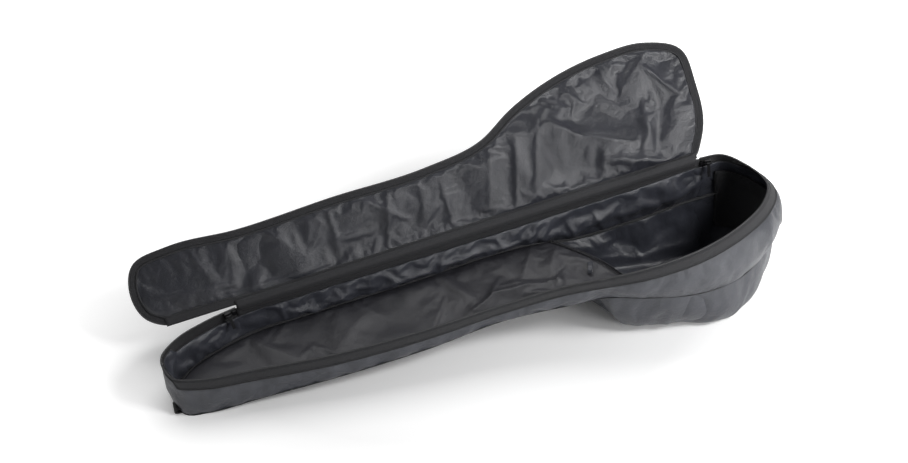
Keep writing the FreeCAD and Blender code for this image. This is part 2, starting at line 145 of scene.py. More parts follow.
# The lid's outline: u and reach.
LID = [(1.050, 0.004), (1.078, 0.054), (1.090, 0.132), (1.085, 0.208), (1.022, 0.238),
       (0.931, 0.240), (0.823, 0.222), (0.732, 0.189), (0.664, 0.151), (0.553, 0.134),
       (0.379, 0.133), (0.197, 0.129), (0.073, 0.137), (0.006, 0.124), (-0.011, 0.073),
       (0.002, 0.026), (0.034, 0.004)]

SPACING = 0.006
# Points between two stations before a curve is spaced evenly.
SAMPLES = 60
TAPE_WIDTH = 0.021
TAPE_THICK = 0.0014
LID_TAPE = 0.013


def travel_of(line):
    """Distance travelled along a line at each of its points."""
    return np.concatenate([[0], np.cumsum(np.linalg.norm(np.diff(line, axis=0), axis=1))])


def sampled(line, travel, wanted):
    """The points of a line at the wanted distances along it."""
    return np.stack([np.interp(wanted, travel, line[:, k]) for k in range(line.shape[1])], axis=1)


def run_of(path, closed=False):
    """Unit directions along a line."""
    run = np.roll(path, -1, axis=0) - np.roll(path, 1, axis=0) if closed else np.gradient(path, axis=0)
    return run / np.linalg.norm(run, axis=1, keepdims=True)


def flow(stations, spacing, closed):
    """Evenly spaced points on a smooth curve through the stations. Further columns ride along."""
    stations = np.asarray(stations, float)
    if closed:
        stations = np.vstack([stations[-1:], stations, stations[:2]])
    else:
        first = 2 * stations[:1] - stations[1:2]
        last = 2 * stations[-1:] - stations[-2:-1]
        stations = np.vstack([first, stations, last])
    gaps = np.linalg.norm(np.diff(stations[:, :2], axis=0), axis=1)
    rises = np.diff(stations, axis=0) / gaps[:, None]
    before, after = gaps[:-1, None], gaps[1:, None]
    slopes = (rises[:-1] * after + rises[1:] * before) / (before + after)
    t = np.linspace(0, 1, SAMPLES, endpoint=False)[:, None]
    runs = []
    for i in range(1, len(stations) - 2):
        gap = gaps[i]
        start, end = stations[i], stations[i + 1]
        runs.append(start * (2 * t**3 - 3 * t**2 + 1) + end * (3 * t**2 - 2 * t**3)
                    + gap * slopes[i - 1] * (t**3 - 2 * t**2 + t) + gap * slopes[i] * (t**3 - t**2))
    dense = np.vstack(runs + [stations[-2:-1]])
    travel = travel_of(dense[:, :2])
    count = max(4, round(travel[-1] / spacing))
    wanted = np.linspace(0, travel[-1], count + 1)
    return sampled(dense, travel, wanted[:-1] if closed else wanted)


def side_of(points, closed):
    """Unit vectors in plan, square to a curve and on its right-hand side."""
    run = run_of(points[:, :2], closed)
    return np.stack([run[:, 1], -run[:, 0]], axis=1)


RIM = flow(BAND, SPACING, closed=True)
RIM_SIDE = side_of(RIM, closed=True)
HINGE_COLUMN = int(np.argmin(np.hypot(RIM[:, 0] - HINGE_END, RIM[:, 1])))
LID_EDGE = flow(LID, SPACING, closed=False)


def wall(share, inset, lift=0.0):
    """The ring of points at a share of the wall's height, moved inwards and its foot lifted."""
    out = RIM[:, 3] * 4 * share * (1 - share) + RIM[:, 4] * share - inset
    plan = RIM[:, :2] + RIM_SIDE * out[:, None]
    w = RIM[:, 2] * (1 - share) - (RIM[:, 5] - lift) * share
    return np.column_stack([plan, w])


# ---------------------------------------------------------------- meshes

def new_piece(name, points, faces, uv=None):
    """A mesh object from frame coordinates, smooth, with a flat unrolled map in metres."""
    points = np.array(points, float)
    points[:, 2] = np.maximum(points[:, 2], FLOOR_GAP)
    mesh = bpy.data.meshes.new(name)
    mesh.from_pydata([tuple(p) for p in points], [], [tuple(f) for f in faces])
    shape = bmesh.new()
    shape.from_mesh(mesh)
    bmesh.ops.recalc_face_normals(shape, faces=shape.faces)
    shape.to_mesh(mesh)
    shape.free()
    mesh.shade_smooth()
    if uv is not None:
        layer = mesh.uv_layers.new(name="cloth")
        corners = np.empty(len(mesh.loops), dtype=np.int32)
        mesh.loops.foreach_get("vertex_index", corners)
        layer.data.foreach_set("uv", np.asarray(uv, dtype=np.float32)[corners].ravel())
    piece = bpy.data.objects.new(name, mesh)
    bpy.context.collection.objects.link(piece)
    return piece


def grid_faces(rows, columns, round_rows=False, round_columns=False):
    """Quads over rows of columns points each."""
    faces = []
    for row in range(rows if round_rows else rows - 1):
        low = row * columns
        high = (row + 1) % rows * columns
        for column in range(columns if round_columns else columns - 1):
            after = (column + 1) % columns
            faces.append((low + column, low + after, high + after, high + column))
    return faces


def grid_uv(rows_of_points, along):
    """Unrolled coordinates of a grid, from the distance along it and down its rows."""
    down = 0.0
    uv = []
    for i, row in enumerate(rows_of_points):
        if i:
            down += float(np.mean(np.linalg.norm(row - rows_of_points[i - 1], axis=1)))
        uv.append(np.column_stack([along, np.full(len(along), down)]))
    return np.vstack(uv)


def closed_rows(name, rows, along):
    """A closed piece from rows that run round its section, with its two ends closed."""
    across = len(rows[0])
    faces = grid_faces(len(rows), across, round_rows=True)
    faces.append(tuple(row * across for row in range(len(rows)))[::-1])
    faces.append(tuple(row * across + across - 1 for row in range(len(rows))))
    return new_piece(name, np.vstack(rows), faces, grid_uv(rows, along))


def inside(points, outline):
    """Which plan points lie inside a closed outline."""
    x, y = points[:, :1], points[:, 1:2]
    x0, y0 = outline[:, 0], outline[:, 1]
    x1, y1 = np.roll(x0, -1), np.roll(y0, -1)
    straddles = (y0 > y) != (y1 > y)
    steep = np.where(y1 == y0, 1e-12, y1 - y0)
    crosses = straddles & (x < (x1 - x0) * (y - y0) / steep + x0)
    return crosses.sum(axis=1) % 2 == 1


def nearest(points, outline):
    """For each plan point, its distance from the nearest point of an outline, and which that is."""
    best = np.full(len(points), np.inf)
    which = np.zeros(len(points), int)
    for i, corner in enumerate(outline):
        away = np.hypot(points[:, 0] - corner[0], points[:, 1] - corner[1])
        which = np.where(away < best, i, which)
        best = np.minimum(best, away)
    return best, which


def from_border(points, outline, reach):
    """0 at an outline, rising to 1 away from it."""
    return 1 - np.exp(-nearest(points, outline)[0] / reach)


# The shortest side of a triangle next to an outline, against the spacing.
LEAST_SIDE = 0.6


def fill(outline, spacing):
    """Evenly spread triangles inside a closed outline: plan points and faces."""
    low, high = outline.min(axis=0), outline.max(axis=0)
    step = spacing * math.sqrt(3) / 2
    rows = []
    for i, y in enumerate(np.arange(low[1], high[1], step)):
        x = np.arange(low[0] + (i % 2) * spacing / 2, high[0], spacing)
        rows.append(np.column_stack([x, np.full(len(x), y)]))
    lattice = np.vstack(rows)
    lattice = lattice[inside(lattice, outline)]
    lattice = lattice[nearest(lattice, outline)[0] > LEAST_SIDE * spacing]
    area = np.sum(outline[:, 0] * np.roll(outline[:, 1], -1) - np.roll(outline[:, 0], -1) * outline[:, 1])
    if area < 0:
        outline = outline[::-1]
    given = [Vector(p) for p in np.vstack([outline, lattice])]
    border = [list(range(len(outline)))]
    points, _, faces, _, _, _ = delaunay_2d_cdt(given, [], border, 1, 1e-7)
    return np.array([tuple(p) for p in points]), [tuple(f) for f in faces]


def pillow(name, plan, faces, top, bottom, where):
    """A closed shell of two sheets of given heights over the same plan triangles, joined round
    their border, in bag or lid space. With it come the points of that border."""
    count = len(plan)
    edges = {}
    for face in faces:
        for i in range(3):
            edge = (face[i], face[(i + 1) % 3])
            edges[edge] = edges.get(edge, 0) + 1
    border = [edge for edge in edges if (edge[1], edge[0]) not in edges]
    shell = list(faces)
    shell += [tuple(i + count for i in reversed(face)) for face in faces]
    shell += [(b, a, a + count, b + count) for a, b in border]
    sheets = [where(np.column_stack([plan, height])) for height in (top, bottom)]
    piece = new_piece(name, np.vstack(sheets), shell, np.vstack([plan, plan]))
    rim = sorted({i for edge in border for i in edge})
    return piece, rim + [i + count for i in rim]


def oval(half_side, half_up, count=10):
    """A closed oval profile."""
    turns = np.arange(count) * 2 * math.pi / count
    return [(half_side * math.cos(t), half_up * math.sin(t)) for t in turns]


# ---------------------------------------------------------------- folds and crumpling

WAVES = 14


def noise_field(points, size, seed):
    """Smooth, repeatable waves of a given size, roughly between -1 and 1."""
    maker = np.random.default_rng(seed)
    total = np.zeros(len(points))
    for _ in range(WAVES):
        heading = maker.normal(size=points.shape[1])
        heading *= maker.uniform(0.6, 1.5) * 2 * math.pi / (size * np.linalg.norm(heading))
        total += np.sin(points @ heading + maker.uniform(0, 2 * math.pi))
    return total / 3.7


# How far a fold runs on past its two ends.
FOLD_FADE = 0.012


def fold_height(plan, folds):
    """The height of sharp-crested folds over a flat plan. A fold is its two ends, its height,
    and how far it slopes away on its left and right sides."""
    total = np.zeros(len(plan))
    for start, end, height, left, right in folds:
        start, end = np.array(start), np.array(end)
        run = end - start
        length = np.linalg.norm(run)
        run = run / length
        offset = plan - start
        travel = offset @ run
        side = run[0] * offset[:, 1] - run[1] * offset[:, 0]
        reach = np.where(side > 0, left, right)
        past = np.clip(np.maximum(-travel, travel - length), 0, None)
        taper = np.clip(np.sin(math.pi * np.clip(travel / length, 0.04, 0.96)), 0, 1) ** 0.5
        total += height * taper * np.exp(-np.abs(side) / reach) * np.exp(-(past / FOLD_FADE) ** 2)
    return total


def coordinates(mesh):
    """The points of a mesh's vertices."""
    values = np.empty(len(mesh.vertices) * 3, dtype=np.float32)
    mesh.vertices.foreach_get("co", values)
    return values.reshape(-1, 3).astype(float)


def set_coordinates(mesh, points):
    """Move a mesh's vertices to the given points."""
    mesh.vertices.foreach_set("co", points.astype(np.float32).ravel())
    mesh.update()


CLOTHS = []


def loosen(piece, pinned, growth, cap, bending, hold):
    """Make a piece ready to crumple: its cloth is larger than the shape it is sewn to."""
    count = len(piece.data.vertices)
    held = piece.vertex_groups.new(name="held")
    held.add(list(range(count)), hold, "REPLACE")
    held.add([int(i) for i in pinned], 1.0, "REPLACE")
    cloth = piece.modifiers.new("cloth", "CLOTH")
    settings = cloth.settings
    settings.quality = 6
    settings.mass = 0.12
    settings.air_damping = 2.0
    settings.tension_stiffness = 12
    settings.compression_stiffness = 12
    settings.shear_stiffness = 6
    settings.bending_stiffness = bending
    settings.shrink_min = -growth
    settings.vertex_group_mass = "held"
    settings.pin_stiffness = 1.0
    settings.effector_weights.gravity = 0.0
    cloth.collision_settings.use_collision = False
    cloth.collision_settings.use_self_collision = False
    CLOTHS.append((piece, cap))


def crumple(frames=18):
    """Run every loosened cloth together, then keep the result, no further than its cap."""
    for piece, _ in CLOTHS:
        cache = piece.modifiers["cloth"].point_cache
        cache.frame_start = 1
        cache.frame_end = frames
    for number in range(1, frames + 1):
        bpy.context.scene.frame_set(number)
    graph = bpy.context.evaluated_depsgraph_get()
    for piece, cap in CLOTHS:
        before = coordinates(piece.data)
        after = coordinates(piece.evaluated_get(graph).data)
        moved = after - before
        length = np.maximum(np.linalg.norm(moved, axis=1, keepdims=True), 1e-9)
        kept = before + moved * (cap * np.tanh(length / cap) / length)
        piece.modifiers.clear()
        set_coordinates(piece.data, kept)
    bpy.context.scene.frame_set(1)


def smoothen(piece):
    subdivision = piece.modifiers.new("smooth", "SUBSURF")
    subdivision.levels = 1
    subdivision.render_levels = 1


# ---------------------------------------------------------------- materials

def shader(name, color, roughness, sheen=0.0, specular=0.5, metallic=0.0):
    """A new material, its node tree and its surface shader."""
    material = bpy.data.materials.new(name)
    material.use_nodes = True
    tree = material.node_tree
    surface = tree.nodes["Principled BSDF"]
    surface.inputs["Base Color"].default_value = (*color, 1)
    surface.inputs["Roughness"].default_value = roughness
    surface.inputs["Metallic"].default_value = metallic
    surface.inputs["Specular IOR Level"].default_value = specular
    surface.inputs["Sheen Weight"].default_value = sheen
    surface.inputs["Sheen Roughness"].default_value = 0.4
    return material, tree, surface


def node(tree, kind, links=(), **values):
    """A node with its settings: keys that start with a capital set inputs of that name."""
    new = tree.nodes.new(kind)
    for key, value in values.items():
        if key[0].isupper():
            new.inputs[key.replace("_", " ")].default_value = value
        else:
            setattr(new, key, value)
    for socket, source in links:
        tree.links.new(source, new.inputs[socket])
    return new


WEAVE_DEPTH = 0.00003
WEAR_DEPTH = 0.00008


def noise(tree, space, scale, detail, roughness, distortion=0.0):
    """Cloudy noise over a piece's own space, as a height from 0 to 1."""
    return node(tree, "ShaderNodeTexNoise", [("Vector", space)], Scale=scale, Detail=detail,
                Roughness=roughness, Distortion=distortion).outputs["Fac"]


def threads(tree, cloth, pitch, heading, distortion, **values):
    """Even ridges at a pitch in metres over the unrolled cloth, as a height from 0 to 1."""
    return node(tree, "ShaderNodeTexWave", [("Vector", cloth)], Scale=0.5 / pitch,
                bands_direction=heading, Distortion=distortion, **values).outputs["Fac"]


def bump(tree, surface, layers):
    """Chain height sources, each with its depth in metres, into the surface's normal."""
    normal = None
    for height, depth in layers:
        links = [("Height", height)]
        if normal is not None:
            links.append(("Normal", normal))
        step = node(tree, "ShaderNodeBump", links, Strength=1.0, Distance=depth)
        normal = step.outputs["Normal"]
    tree.links.new(normal, surface.inputs["Normal"])


def tinted(tree, surface, source, dark, light):
    """Run a 0 to 1 source through a colour ramp into the base colour."""
    ramp = node(tree, "ShaderNodeValToRGB", [("Fac", source)])
    ramp.color_ramp.elements[0].position = 0.3
    ramp.color_ramp.elements[0].color = (*dark, 1)
    ramp.color_ramp.elements[1].position = 0.7
    ramp.color_ramp.elements[1].color = (*light, 1)
    tree.links.new(ramp.outputs["Color"], surface.inputs["Base Color"])


def rough_range(tree, surface, source, low, high):
    span = node(tree, "ShaderNodeMapRange", [("Value", source)], To_Min=low, To_Max=high)
    tree.links.new(span.outputs["Result"], surface.inputs["Roughness"])


def nylon(name, dark, light, roughness, sheen, crinkle, weave=0.00045):
    """Thin coated nylon: fine plain weave, faint creasing and uneven gloss."""
    material, tree, surface = shader(name, light, roughness, sheen)
    where = node(tree, "ShaderNodeTexCoord")
    cloth = where.outputs["UV"]
    solid = where.outputs["Object"]
    blotch = noise(tree, solid, 22.0, 4.0, 0.6)
    crease = noise(tree, solid, 95.0, 3.0, 0.55, 1.2)
    warp = threads(tree, cloth, weave, "X", 0.4, Detail_Scale=2.0)
    weft = threads(tree, cloth, weave, "Y", 0.4, Detail_Scale=2.0)
    both = node(tree, "ShaderNodeMath", [(0, warp), (1, weft)], operation="ADD")
    tinted(tree, surface, blotch, dark, light)
    rough_range(tree, surface, crease, roughness - 0.05, roughness + 0.07)
    bump(tree, surface, [(blotch, crinkle * 2), (crease, crinkle),
                         (both.outputs["Value"], WEAVE_DEPTH)])
    return material


def webbing(name, dark, light, rib, depth, roughness=0.75):
    """Woven tape with ribs across it and a grainy face."""
    material, tree, surface = shader(name, light, roughness, 0.06)
    where = node(tree, "ShaderNodeTexCoord")
    grain = noise(tree, where.outputs["Object"], 520.0, 3.0, 0.7)
    ribs = threads(tree, where.outputs["UV"], rib, "DIAGONAL", 0.8, Detail=1.0, Detail_Scale=1.5)
    tinted(tree, surface, grain, dark, light)
    bump(tree, surface, [(ribs, depth), (grain, depth)])
    return material


def moulded(name, dark, light, roughness, metallic):
    """Painted metal or moulded plastic with fine wear."""
    material, tree, surface = shader(name, light, roughness, 0.0, 0.5, metallic)
    where = node(tree, "ShaderNodeTexCoord")
    wear = noise(tree, where.outputs["Object"], 420.0, 4.0, 0.65)
    tinted(tree, surface, wear, dark, light)
    rough_range(tree, surface, wear, roughness - 0.08, roughness + 0.12)
    bump(tree, surface, [(wear, WEAR_DEPTH)])
    return material


OUTER = nylon("outer nylon", (0.026, 0.028, 0.035), (0.038, 0.040, 0.049), 0.40, 0.04, 0.0008)
# The lining and the lid's lining are one cloth in two tints: the lining's tint is lightened as painted
# light on the lit walls and bowl, and the lid's lining is darkened as painted shade.
LINING = nylon("lining nylon", (0.026, 0.028, 0.036), (0.037, 0.039, 0.049), 0.32, 0.02, 0.0007)
LID_LINING_SHADED = nylon("lid lining nylon with painted shade", (0.017, 0.018, 0.023), (0.024, 0.025, 0.032), 0.33, 0.02, 0.0007)
BACKING = nylon("neck back nylon", (0.017, 0.017, 0.021), (0.023, 0.023, 0.028), 0.42, 0.05, 0.0004)
TAPE = webbing("zip tape", (0.005, 0.005, 0.006), (0.024, 0.024, 0.028), 0.0012, 0.00045)
BINDING = webbing("seam binding", (0.008, 0.008, 0.010), (0.022, 0.022, 0.025), 0.0016, 0.0002)
STRAP = webbing("strap webbing", (0.006, 0.006, 0.007), (0.020, 0.020, 0.022), 0.0022, 0.0005)
PATCH = webbing("patch cloth", (0.008, 0.008, 0.010), (0.018, 0.018, 0.021), 0.0008, 0.0002, 0.8)
COILS = moulded("zip coil nylon", (0.010, 0.010, 0.011), (0.026, 0.026, 0.029), 0.45, 0.0)
PAINTED = moulded("slider paint", (0.006, 0.006, 0.007), (0.014, 0.014, 0.016), 0.35, 0.4)


# ---------------------------------------------------------------- fitting out

def fit_out(piece, body, material, replaced=()):
    """Give a piece its material, body and the CAD nodes it stands for."""
    piece.data.materials.clear()
    piece.data.materials.append(material)
    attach(piece, body)
    if replaced:
        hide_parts(*replaced)


COUNT = len(RIM)
HEIGHT = RIM[:, 2] + RIM[:, 5]
TRAVEL = travel_of(RIM[:, :2])
# The tape hides behind the wall's own cloth round the tip, and shows from the near corner on.
TIP_WALL = (RIM[:, 0] < 0.034) & (RIM[:, 1] < -0.050) & (RIM[:, 1] > -0.131)
TAPE_DROP = np.where(TIP_WALL, 0.0075, TAPE_WIDTH)
TAPE_SHARE = (TAPE_DROP - 0.0022) / HEIGHT


def puff(x, edge=0.35):
    """The rounded side of a pad: 0 at both borders, 1 over the middle."""
    return np.clip(np.sin(math.pi * np.clip(x, 0, 1)), 0, 1) ** edge


def pad_ring(name, near_face, far_face):
    """A closed band between two faces. Each face gives its points at a share of the pad."""
    rows = BAND_ROWS
    shares = np.linspace(0, 1, rows)
    points = [near_face(x) for x in shares] + [far_face(x) for x in shares[::-1]]
    faces = grid_faces(2 * rows, COUNT, round_rows=True, round_columns=True)
    piece = new_piece(name, place(np.vstack(points)), faces, grid_uv(points, TRAVEL))
    borders = [0, rows - 1, rows, 2 * rows - 1]
    pinned = [row * COUNT + i for row in borders for i in range(COUNT)]
    return piece, pinned


def band_share(x):
    return TAPE_SHARE + (1 - TAPE_SHARE) * x


def unrolled(x):
    """Where a row of the band lies when it is laid out flat."""
    return np.column_stack([TRAVEL, x * HEIGHT])


# How deep the four faces of the wall's two pads lie where they are sewn.
OUTSIDE = 0.0012
CORE = 0.0030
CORE_INSIDE = 0.0034
INSIDE = 0.0052


def band_outside(x):
    flat = unrolled(x)
    swell = 0.0020 + noise_field(flat, 0.09, 4) * 0.0014 + fold_height(flat, OUTER_FOLDS)
    return wall(band_share(x), OUTSIDE - swell * puff(x))


def band_core(x):
    return wall(band_share(x), CORE + 0.0015 * puff(x))


def band_core_inside(x):
    return wall(band_share(x), CORE_INSIDE + 0.0018 * puff(x))


def band_inside(x):
    flat = unrolled(x)
    crumpled = noise_field(flat, 0.060, 9) * 0.0012 + fold_height(flat, INNER_FOLDS)
    return wall(band_share(x), INSIDE + (0.0034 + crumpled) * puff(x), lift=0.002)


def scattered(seed, count, along, across, length, height, slope, heading):
    """Folds strewn over a stretch of cloth, each ranging between the given lows and highs."""
    maker = np.random.default_rng(seed)
    folds = []
    for _ in range(count):
        start = np.array([maker.uniform(*along), maker.uniform(*across)])
        turn = math.radians(maker.uniform(*heading))
        end = start + np.array([math.cos(turn), math.sin(turn)]) * maker.uniform(*length)
        sides = maker.uniform(*slope, size=2)
        folds.append((tuple(start), tuple(end), maker.uniform(*height), sides[0], sides[1] * 0.5))
    return folds


GIRTH = float(TRAVEL[-1])
INNER_FOLDS = (scattered(61, 95, (0.04, GIRTH - 0.05), (0.012, 0.05), (0.025, 0.070), (0.002, 0.0050),
                         (0.005, 0.013), (20, 160))
               + scattered(62, 40, (0.04, GIRTH - 0.12), (0.02, 0.06), (0.05, 0.11), (0.002, 0.0045),
                           (0.006, 0.014), (-22, 22)))


def far_folds(folds):
    """Folds of the hinge side's lining, given by u and drop below the rim, laid out flat."""
    far = np.arange(COUNT) > HINGE_COLUMN
    u, travel = RIM[far, 0][::-1], TRAVEL[far][::-1]
    return [((float(np.interp(a[0], u, travel)), a[1]), (float(np.interp(b[0], u, travel)), b[1]), *rest)
            for a, b, *rest in folds]


INNER_FOLDS += far_folds([
    ((0.440, 0.044), (0.560, 0.031), 0.008, 0.016, 0.007),
    ((0.545, 0.032), (0.680, 0.040), 0.009, 0.016, 0.007),
    ((0.672, 0.042), (0.712, 0.030), 0.006, 0.008, 0.006),
    ((0.685, 0.058), (0.705, 0.030), 0.006, 0.006, 0.010),
    ((0.705, 0.056), (0.742, 0.026), 0.007, 0.006, 0.010),
    ((0.735, 0.062), (0.752, 0.030), 0.006, 0.005, 0.008),
    ((0.752, 0.050), (0.800, 0.060), 0.006, 0.008, 0.010),
    ((0.790, 0.030), (0.840, 0.044), 0.006, 0.010, 0.014),
    ((0.860, 0.070), (0.870, 0.028), 0.006, 0.016, 0.009),
    ((0.910, 0.074), (0.925, 0.030), 0.006, 0.018, 0.010),
    ((0.955, 0.070), (0.990, 0.026), 0.006, 0.010, 0.016),
    ((0.240, 0.034), (0.300, 0.044), 0.005, 0.008, 0.010),
    ((0.300, 0.048), (0.370, 0.030), 0.005, 0.010, 0.008),
])
OUTER_FOLDS = scattered(63, 60, (0.05, GIRTH - 0.06), (0.01, 0.05), (0.03, 0.09), (0.001, 0.0032),
                        (0.006, 0.018), (30, 150))


side_pad, side_pins = pad_ring("side_pad", band_outside, band_core)
side_lining, lining_pins = pad_ring("side_lining_pad", band_inside, band_core_inside)
loosen(side_pad, side_pins, 0.03, 0.005, bending=1.0, hold=0.03)
loosen(side_lining, lining_pins, 0.05, 0.006, bending=0.25, hold=0.01)


# ---------------------------------------------------------------- the back of the neck

INNER_LIP_LINE = flow(INNER_LIP, SPACING, closed=False)
OUTER_LIP_LINE = flow(OUTER_LIP, SPACING, closed=False)


def nearest_column(u, v):
    return int(np.argmin(np.hypot(RIM[:, 0] - u, RIM[:, 1] - v)))


LIP_FAR = nearest_column(0.730, 0.0)


def body_columns(lip):
    """The columns of the wall round the bowl's mouth, from the near end of a lip to the far one."""
    return list(range(nearest_column(lip[-1][0], -0.21), LIP_FAR + 1))


NECK_COLUMNS = [i % COUNT for i in range(LIP_FAR, body_columns(INNER_LIP)[0] + COUNT + 1)]
neck_foot = wall(1.0, 0.0014)[NECK_COLUMNS]
neck_border = np.vstack([neck_foot, INNER_LIP_LINE[::-1][1:-1] * np.array([1, 1, -1])])
neck_outline = neck_border[:, :2]
neck_plan, neck_faces = fill(neck_outline, SPACING)
# Folds of the neck's back: two ends, height, and slopes to its left and right.
NECK_FOLDS = [
    ((0.545, -0.138), (0.605, -0.112), 0.011, 0.008, 0.016),
    ((0.600, -0.112), (0.690, -0.122), 0.012, 0.007, 0.016),
    ((0.625, -0.098), (0.665, -0.108), 0.008, 0.006, 0.008),
    ((0.613, -0.083), (0.589, -0.116), 0.007, 0.009, 0.006),
    ((0.690, -0.122), (0.728, -0.132), 0.008, 0.006, 0.009),
    ((0.727, -0.114), (0.703, -0.138), 0.007, 0.007, 0.006),
    ((0.640, -0.132), (0.700, -0.150), 0.008, 0.007, 0.008),
    ((0.500, -0.100), (0.470, -0.150), 0.004, 0.016, 0.020),
    ((0.536, -0.060), (0.560, -0.110), 0.004, 0.016, 0.010),
    ((0.700, -0.030), (0.660, -0.090), 0.004, 0.014, 0.012),
    ((0.745, -0.040), (0.715, -0.100), 0.006, 0.010, 0.014),
    ((0.750, -0.075), (0.800, -0.115), 0.006, 0.010, 0.012),
    ((0.380, -0.050), (0.300, -0.120), 0.003, 0.030, 0.022),
    ((0.180, -0.050), (0.230, -0.110), 0.003, 0.020, 0.022),
]


neck_rise = from_border(neck_plan, neck_outline, 0.010)
neck_edge = neck_border[nearest(neck_plan, neck_border)[1], 2]
neck_middle = np.interp(neck_plan[:, 0], [0.0, 0.06, 0.74, 0.84], [-0.067, -0.0705, -0.0705, -0.078])
neck_wave = noise_field(neck_plan * np.array([0.5, 1.0]), 0.10, 21) * 0.0012
neck_bulge = 0.0085 + neck_wave + fold_height(neck_plan, NECK_FOLDS)
neck_top = (neck_edge + 0.002) * (1 - neck_rise) + (neck_middle + neck_bulge) * neck_rise
neck_under = neck_edge * (1 - neck_rise) + (neck_middle - 0.001 + neck_wave * 0.3) * neck_rise
neck_back, neck_pins = pillow("neck_back_pad", neck_plan, neck_faces, neck_top, neck_under, place)
loosen(neck_back, neck_pins, 0.012, 0.003, bending=1.5, hold=0.04)


# ---------------------------------------------------------------- the bowl

SEAM_LAP = 0.003
# The lip's line runs this deep in the bowl's pad.
LIP_DEPTH = 0.0045


def bowl_ring(inset, lip_stations, lip_line):
    """The mouth of the bowl: the foot of the body's wall, then a lip."""
    foot = wall(1.0, inset)[body_columns(lip_stations)]
    lip = lip_line[1:-1].copy()
    inward = np.array(BOWL_CENTRE) - lip[:, :2]
    inward /= np.linalg.norm(inward, axis=1, keepdims=True)
    lip = np.column_stack([lip[:, :2] + inward * (inset - LIP_DEPTH), -lip[:, 2]])
    ring = np.vstack([foot, lip])
    ring[:, 2] += SEAM_LAP
    return ring


def bowl_face(inset, lift, lip_stations=OUTER_LIP, lip_line=OUTER_LIP_LINE):
    """Rows of one face of the bowl, from its mouth down and over its flat."""
    ring = bowl_ring(inset, lip_stations, lip_line)
    spoke = ring[:, :2] - np.array(BOWL_CENTRE)
    heading = np.arctan2(spoke[:, 1], spoke[:, 0])
    turn = np.degrees(heading) % 360
    ratio = np.interp(turn, [0, 45, 90, 135, 165, 185, 203, 225, 250, 275, 302, 360],
                      [0.78, 0.70, 0.62, 0.66, 0.70, 0.66, 0.55, 0.51, 0.56, 0.70, 0.80, 0.78])
    belly = 0.04 * np.clip(np.cos(heading + 1.3), 0, 1)
    rows = []
    for dip in np.linspace(0, math.pi / 2, BOWL_WALL_ROWS):
        reach = 1 - (1 - ratio) * (1 - math.cos(dip)) + belly * math.sin(2 * dip)
        plan = np.array(BOWL_CENTRE) + spoke * reach[:, None]
        low = ground(plan[:, 0]) + lift
        rows.append(np.column_stack([plan, ring[:, 2] + (low - ring[:, 2]) * math.sin(dip)]))
    for share in np.linspace(1, 0.05, BOWL_FLOOR_ROWS)[1:]:
        plan = np.array(BOWL_CENTRE) + spoke * (ratio * share)[:, None]
        rows.append(np.column_stack([plan, ground(plan[:, 0]) + lift]))
    return rows


def bowl_shell(name, outer, inner):
    """A closed bowl between two faces, each closed at its middle."""
    across = len(outer[0])
    rows = outer[::-1] + inner
    middle = [row.mean(axis=0, keepdims=True) for row in (outer[-1], inner[-1])]
    faces = grid_faces(len(rows), across, round_columns=True)
    total = len(rows) * across
    last = total - across
    for i in range(across):
        after = (i + 1) % across
        faces.append((total, after, i))
        faces.append((total + 1, last + i, last + after))
    travel = np.arange(across) * SPACING
    uv = np.vstack([grid_uv(rows, travel), [[0, 0], [0, 0]]])
    piece = new_piece(name, place(np.vstack(rows + middle)), faces, uv)
    deep = len(outer)
    pinned = [row * across + i for row in (deep - 1, deep) for i in range(across)]
    return piece, pinned


def rumpled(rows, size, amount, seed, creases=(), ridges=()):
    """Move a bowl face's points in and out in plan by waves and creases, least at its mouth, and
    raise ridges inwards from its wall and up from its floor."""
    across = np.arange(len(rows[0])) * SPACING
    changed = []
    for k, row in enumerate(rows):
        spoke = row[:, :2] - np.array(BOWL_CENTRE)
        spoke /= np.maximum(np.linalg.norm(spoke, axis=1, keepdims=True), 1e-9)
        flat = np.column_stack([across, np.full(len(across), k * SPACING)])
        wave = noise_field(row * np.array([1, 1, 0.5]), size, seed) * amount
        wave = (wave + fold_height(flat, creases)) * min(1, k / 4) * (k < BOWL_WALL_ROWS - 1)
        raised = fold_height(row[:, :2], ridges) * min(1, k / 3)
        dip = min(1, k / (BOWL_WALL_ROWS - 1)) * math.pi / 2
        wave = wave - raised * math.cos(dip)
        changed.append(np.column_stack([row[:, :2] + spoke * wave[:, None],
                                        row[:, 2] + raised * math.sin(dip)]))
    return changed


MOUTH = len(body_columns(OUTER_LIP)) * SPACING
BOWL_CREASES = scattered(64, 34, (0.02, MOUTH), (0.005, 0.06), (0.03, 0.10), (0.0015, 0.0045),
                         (0.006, 0.018), (25, 155))
# Long folds of the bowl's lining that fan out from the far end of the lip.
BOWL_RIDGES = [
    ((0.742, -0.024), (0.900, -0.034), 0.016, 0.020, 0.010),
    ((0.900, -0.034), (1.030, -0.028), 0.012, 0.016, 0.010),
    ((0.752, -0.040), (0.850, -0.062), 0.014, 0.014, 0.008),
    ((0.856, -0.064), (0.990, -0.092), 0.016, 0.020, 0.012),
    ((0.770, -0.064), (0.900, -0.112), 0.014, 0.014, 0.009),
    ((0.900, -0.112), (1.020, -0.120), 0.009, 0.018, 0.012),
    ((0.950, -0.060), (1.050, -0.075), 0.008, 0.014, 0.010),
]


bowl_outside = rumpled(bowl_face(0.0012, 0.0003), 0.09, 0.0025, 31, BOWL_CREASES)
bowl_pad, bowl_pins = bowl_shell("bowl_pad", bowl_outside, bowl_face(0.0045, 0.004))
bowl_inside = rumpled(bowl_face(0.0100, 0.011, INNER_LIP, INNER_LIP_LINE), 0.08, 0.003, 33,
                      ridges=BOWL_RIDGES)
bowl_lining, bowl_lining_pins = bowl_shell(
    "bowl_lining_pad", bowl_face(0.0052, 0.0045, INNER_LIP, INNER_LIP_LINE), bowl_inside)
loosen(bowl_pad, bowl_pins, 0.03, 0.006, bending=0.8, hold=0.02)
loosen(bowl_lining, bowl_lining_pins, 0.05, 0.008, bending=0.3, hold=0.01)


